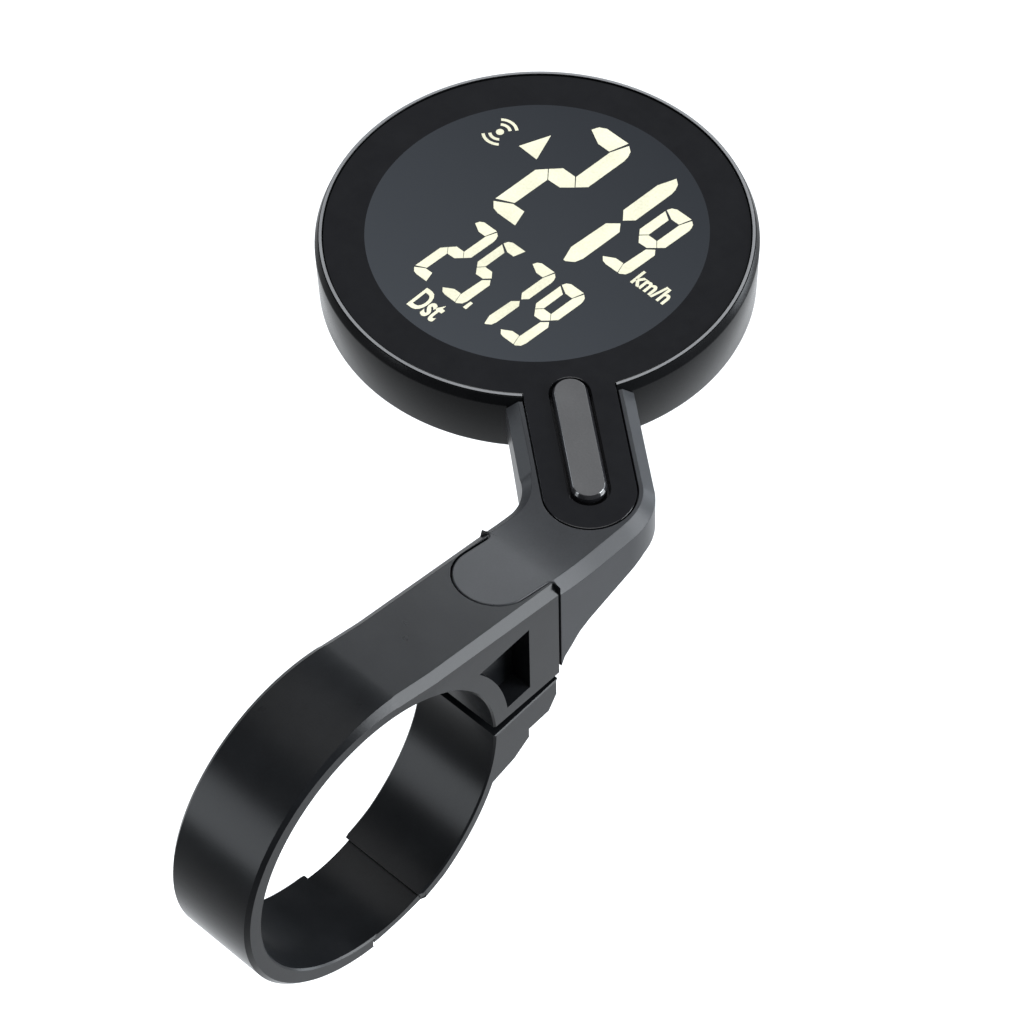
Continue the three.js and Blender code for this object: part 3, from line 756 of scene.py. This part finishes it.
def raised_marks(name, outlines):
    points, faces = [], []
    for outline in outlines:
        n, base = len(outline), len(points)
        for z in (MARK_LOW, MARK_HIGH):
            points += [(UNIT_X + x, UNIT_Y + y, UNIT_Z + z) for x, y in outline]
        faces += [[base + i, base + (i + 1) % n, base + n + (i + 1) % n, base + n + i]
                  for i in range(n)]
        faces += [[base + i for i in reversed(range(n))], [base + n + i for i in range(n)]]
    piece = shell_piece(name, points, faces)
    face_outwards(piece)
    return piece


def lettering(name, text, left, foot, height, narrow, weight):
    """Plain lettering, turned into a mesh and then set in place."""
    curve = bpy.data.curves.new(name, "FONT")
    curve.body = text
    curve.offset = weight
    curve.resolution_u = 4
    curve.extrude = 0.5
    letters = bpy.data.objects.new(name, curve)
    scene.collection.objects.link(letters)
    bpy.context.view_layer.update()
    graph = bpy.context.evaluated_depsgraph_get()
    mesh = bpy.data.meshes.new_from_object(letters.evaluated_get(graph))
    bpy.data.objects.remove(letters)
    piece = bpy.data.objects.new(name, mesh)
    scene.collection.objects.link(piece)
    thin = MARK_HIGH - MARK_LOW
    size = height / 0.7
    mesh.transform(Matrix.Diagonal((size * narrow * MM, size * MM, thin * MM, 1)))
    middle = UNIT_Z + (MARK_LOW + MARK_HIGH) / 2
    mesh.transform(Matrix.Translation(Vector((UNIT_X + left, UNIT_Y + foot, middle)) * MM))
    return piece


pale = finish_of("pale_segments", (0.34, 0.33, 0.245), (0.46, 0.45, 0.34), 0.35,
                 grain=4200, relief=0.001, gloss=0.3)
marks = [
    raised_marks("display_digits", display_outlines()),
    lettering("speed_unit", "km/h", 11.5, 1.5, 1.95, 0.82, 0.028),
    lettering("distance_word", "Dst", -2.8, -16.0, 2.85, 0.6, 0.024),
]
for mark in marks:
    mark.data.materials.append(pale)
    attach(mark, "frame")

# ---- mode key ----------------------------------------------------------------------------
# A long key of firm grey rubber with black glossy flanks, standing in the lens's slot. It
# presses a switch on the board through a steel plunger.

KEY_TOP = 0.56
FLANK_TOP = 0.52


def mode_key():
    """Rings from the flange under the lens up to the flat top, then closed across."""
    rings = [(2.78, -1.9), (2.8, -1.88), (2.8, -1.52), (2.78, -1.5), (CAP_R, -1.5),
             (CAP_R, 0.15), (CAP_R - 0.02, 0.2), (CAP_R - 0.16, 0.44), (CAP_R - 0.19, 0.5),
             (CAP_R - 0.23, 0.54), (CAP_R - 0.28, KEY_TOP)]
    around = 16
    points, faces = [], []
    for r, z in rings:
        ends = arc(CAP_TO, 0, r, -90, 90, 180 / around)
        ends += arc(CAP_FROM, 0, r, 90, 270, 180 / around)
        points += [(*on_unit(s, n), UNIT_Z + z) for s, n in ends]
    n = len(points) // len(rings)
    for i in range(len(rings) - 1):
        a, b = i * n, (i + 1) * n
        faces += [[a + j, a + (j + 1) % n, b + (j + 1) % n, b + j] for j in range(n)]
    faces += [list(range(n))[::-1], list(range(len(points) - n, len(points)))]
    key = shell_piece("mode_key_cap", points, faces)
    face_outwards(key)
    for face in key.data.polygons:
        lowest = min(key.data.vertices[v].co.z for v in face.vertices) / MM - UNIT_Z
        face.material_index = 0 if lowest > FLANK_TOP else 1
    return key


key = mode_key()
key_grey = finish_of("key_rubber_top", (0.030, 0.030, 0.031), (0.042, 0.042, 0.043), 0.65,
                     grain=4800, relief=0.012, gloss=0.2)
key_flank = finish_of("key_flank", (0.006, 0.006, 0.007), (0.010, 0.010, 0.011), 0.16,
                      grain=1500, relief=0.001)
key.data.materials.append(key_grey)
key.data.materials.append(key_flank)
smooth(key, 20)
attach(key, "mode_key")
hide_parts("mode_button")

# ---- inside the case ---------------------------------------------------------------------
# The display stack, the board and its parts, the switches and the battery's contacts. Each
# has the finish it really has, though little of it shows once the case is closed.

board_green = finish_of("board_laminate", (0.008, 0.07, 0.03), (0.015, 0.11, 0.05), 0.4,
                        grain=2200, mottling=500)
inner_black = finish_of("inner_black_plastic", (0.010, 0.010, 0.011), (0.016, 0.016, 0.017), 0.5)
rubber = finish_of("black_rubber", (0.008, 0.008, 0.008), (0.014, 0.014, 0.014), 0.7,
                   grain=6500, relief=0.01)
glass_panel = finish_of("display_glass", (0.040, 0.048, 0.050), (0.052, 0.060, 0.062), 0.1,
                        grain=800, relief=0.0003)
film_white = finish_of("reflector_film", (0.60, 0.62, 0.52), (0.70, 0.72, 0.62), 0.5)
refinish(board_green, "circuit_board")
refinish(inner_black, "lcd_frame", "controller_chip", "mode_switch", "set_switch")
refinish(rubber, "lens_tape", "zebra_front", "zebra_rear", "case_gasket", "cover_oring")
refinish(glass_panel, "lcd_glass")
refinish(film_white, "lcd_reflector")
refinish(steel, "timing_crystal", "mode_switch_plunger", "coin_cell")
refinish(steel, "battery_contact_negative", "battery_contact_positive")

# ---- screws ------------------------------------------------------------------------------
# Six slotted pan-head screws of plated steel: four pull the case back up against its
# gasket, and two hold the arm's foot down inside the case.


def screw_tree(name):
    """Geometry nodes: a slotted head and a shank at each point, as one mesh."""
    tree = bpy.data.node_groups.new(name, "GeometryNodeTree")
    tree.interface.new_socket("Geometry", in_out="INPUT", socket_type="NodeSocketGeometry")
    for size in ("Head Radius", "Head Height", "Shank Radius", "Shank Length", "Slot Width",
                 "Shank Side"):
        tree.interface.new_socket(size, in_out="INPUT", socket_type="NodeSocketFloat")
    tree.interface.new_socket("Finish", in_out="INPUT", socket_type="NodeSocketMaterial")
    tree.interface.new_socket("Geometry", in_out="OUTPUT", socket_type="NodeSocketGeometry")
    nodes, links = tree.nodes, tree.links
    given = nodes.new("NodeGroupInput")

    def turned_part(radius, depth, sides):
        part = nodes.new("GeometryNodeMeshCylinder")
        part.inputs["Vertices"].default_value = sides
        links.new(given.outputs[radius], part.inputs["Radius"])
        links.new(given.outputs[depth], part.inputs["Depth"])
        return part

    def work(kind, a, b):
        step = nodes.new("ShaderNodeMath")
        step.operation = kind
        for socket, value in zip(step.inputs, (a, b)):
            if isinstance(value, (int, float)):
                socket.default_value = value
            else:
                links.new(value, socket)
        return step.outputs[0]

    head = turned_part("Head Radius", "Head Height", 32)
    shank = turned_part("Shank Radius", "Shank Length", 16)
    slot = nodes.new("GeometryNodeMeshCube")
    slot_size = nodes.new("ShaderNodeCombineXYZ")
    links.new(work("MULTIPLY", given.outputs["Head Radius"], 3), slot_size.inputs["X"])
    links.new(given.outputs["Slot Width"], slot_size.inputs["Y"])
    links.new(given.outputs["Head Height"], slot_size.inputs["Z"])
    links.new(slot_size.outputs[0], slot.inputs["Size"])

    def raised(mesh, height):
        move = nodes.new("GeometryNodeTransform")
        vector = nodes.new("ShaderNodeCombineXYZ")
        links.new(height, vector.inputs["Z"])
        links.new(vector.outputs[0], move.inputs["Translation"])
        links.new(mesh, move.inputs["Geometry"])
        return move.outputs[0]

    side = given.outputs["Shank Side"]
    slot_height = work("MULTIPLY", work("MULTIPLY", given.outputs["Head Height"], -0.6), side)
    reach = work("ADD", given.outputs["Head Height"], given.outputs["Shank Length"])
    shank_height = work("MULTIPLY", work("MULTIPLY", reach, 0.49), side)
    cut = nodes.new("GeometryNodeMeshBoolean")
    cut.operation = "DIFFERENCE"
    links.new(head.outputs["Mesh"], cut.inputs["Mesh 1"])
    links.new(raised(slot.outputs["Mesh"], slot_height), cut.inputs["Mesh 2"])
    both = nodes.new("GeometryNodeMeshBoolean")
    both.operation = "UNION"
    links.new(raised(shank.outputs["Mesh"], shank_height), both.inputs["Mesh 2"])
    links.new(cut.outputs["Mesh"], both.inputs["Mesh 2"])
    put = nodes.new("GeometryNodeInstanceOnPoints")
    links.new(given.outputs["Geometry"], put.inputs["Points"])
    links.new(both.outputs["Mesh"], put.inputs["Instance"])
    real = nodes.new("GeometryNodeRealizeInstances")
    links.new(put.outputs["Instances"], real.inputs["Geometry"])
    finish = nodes.new("GeometryNodeSetMaterial")
    links.new(real.outputs["Geometry"], finish.inputs["Geometry"])
    links.new(given.outputs["Finish"], finish.inputs["Material"])
    result = nodes.new("NodeGroupOutput")
    links.new(finish.outputs["Geometry"], result.inputs["Geometry"])
    return tree


def set_screws(name, places, sizes):
    screws = shell_piece(name, places, [])
    holder = screws.modifiers.new("screws", "NODES")
    holder.node_group = slotted_screw
    for item in slotted_screw.interface.items_tree:
        if item.in_out == "INPUT" and item.name in sizes:
            holder[item.identifier] = sizes[item.name]
    settle(screws)
    smooth(screws)
    return screws


def head_middles(*nodes, head_on_top=False):
    """The middle of each screw's head, at the lower or the upper end of its CAD solid."""
    places = []
    for node in nodes:
        low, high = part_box(node)
        height = high.z / MM - 0.25 if head_on_top else low.z / MM + 0.25
        places.append(((low.x + high.x) / 2 / MM, (low.y + high.y) / 2 / MM, height))
    return places


slotted_screw = screw_tree("slotted_screw")
SCREW_SIZES = {
    "Head Radius": 1.18 * MM, "Head Height": 0.5 * MM, "Shank Radius": 0.55 * MM,
    "Shank Length": 2.6 * MM, "Slot Width": 0.3 * MM, "Shank Side": 1.0, "Finish": steel,
}
case_places = head_middles("case_screw_1", "case_screw_2", "case_screw_3", "case_screw_4")
case_screws = set_screws("case_screws", case_places, SCREW_SIZES)
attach(case_screws, "frame")
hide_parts("case_screw_1", "case_screw_2", "case_screw_3", "case_screw_4")

arm_places = head_middles("arm_screw_1", "arm_screw_2", head_on_top=True)
arm_sizes = dict(SCREW_SIZES)
arm_sizes.update({"Head Radius": 1.08 * MM, "Shank Length": 2.1 * MM, "Shank Side": -1.0})
arm_screws = set_screws("arm_screws", arm_places, arm_sizes)
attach(arm_screws, "frame")
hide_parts("arm_screw_1", "arm_screw_2")

# ---- case back, set button and battery cover ---------------------------------------------
# The underside: a moulded back with the battery's well, a rubber setting button, and a
# round cover that turns thirty degrees with a coin and seals on an O-ring.

back_plastic = finish_of("back_charcoal", (0.020, 0.021, 0.023), (0.030, 0.031, 0.034), 0.45)
refinish(back_plastic, "case_back", "battery_cover")
refinish(key_grey, "set_button")

# ---- studio ------------------------------------------------------------------------------
# A pale floor well below, soft boxes overhead and to the sides, and the camera.


def soft_box(name, place, target, size, power, tint=(1, 1, 1)):
    light = bpy.data.lights.new(name, "AREA")
    light.shape = "RECTANGLE"
    light.size, light.size_y = size
    light.energy = power
    light.color = tint
    lamp = bpy.data.objects.new(name, light)
    lamp.location = place
    lamp.rotation_euler = (Vector(target) - Vector(place)).to_track_quat("-Z", "Y").to_euler()
    lamp.visible_camera = False
    scene.collection.objects.link(lamp)


REACH = 6000
FLOOR_Z = -750
floor = shell_piece("studio_floor", [(-REACH, -REACH, FLOOR_Z), (REACH, -REACH, FLOOR_Z),
                                     (REACH, REACH, FLOOR_Z), (-REACH, REACH, FLOOR_Z)],
                    [[0, 1, 2, 3]])
floor.data.materials.append(finish_of("studio_floor", (0.93, 0.93, 0.93), (0.95, 0.95, 0.95), 0.9,
                                      grain=40, relief=0, mottling=3, gloss=0.1))

world = bpy.data.worlds.new("studio_air")
world.use_nodes = True
air = world.node_tree.nodes["Background"]
air.inputs["Color"].default_value = (0.93, 0.96, 1.0, 1)
air.inputs["Strength"].default_value = 0.3
scene.world = world

soft_box("overhead", (0.0, 0.0, 1.3), (0, 0, 0), (1.1, 1.1), 26)
soft_box("right_bank", (0.56, 0.48, 0.20), (0, 0.03, 0), (0.42, 0.40), 16, (0.92, 0.96, 1))
soft_box("back_bank", (-0.43, 0.74, 0.36), (0, 0.03, 0), (0.35, 0.22), 6, (0.92, 0.96, 1))
soft_box("front_bank", (0.22, 0.74, -0.12), (0, 0.0, 0), (0.4, 0.3), 5, (0.88, 0.94, 1))
soft_box("left_bank", (-0.70, -0.16, 0.06), (0, 0.03, 0), (0.22, 0.3), 1.0, (0.86, 0.93, 1))
soft_box("rear_bank", (-0.34, -0.62, 0.12), (0, 0.0, 0), (0.22, 0.4), 3, (0.9, 0.95, 1))

VIEW_RIGHT = Vector((0.7177, 0.69618, -0.01525))
VIEW_UP = Vector((-0.53318, 0.56348, 0.63104))
eye = bpy.data.cameras.new("camera")
eye.lens = 190.74
eye.sensor_width = 36
eye.clip_start = 0.01
camera = bpy.data.objects.new("camera", eye)
view_back = VIEW_RIGHT.cross(VIEW_UP)
turn = Matrix((VIEW_RIGHT, VIEW_UP, view_back)).transposed().to_4x4()
camera.matrix_world = Matrix.Translation((0.229993, -0.204613, 0.421056)) @ turn
scene.collection.objects.link(camera)
scene.camera = camera
scene.view_settings.view_transform = "Standard"
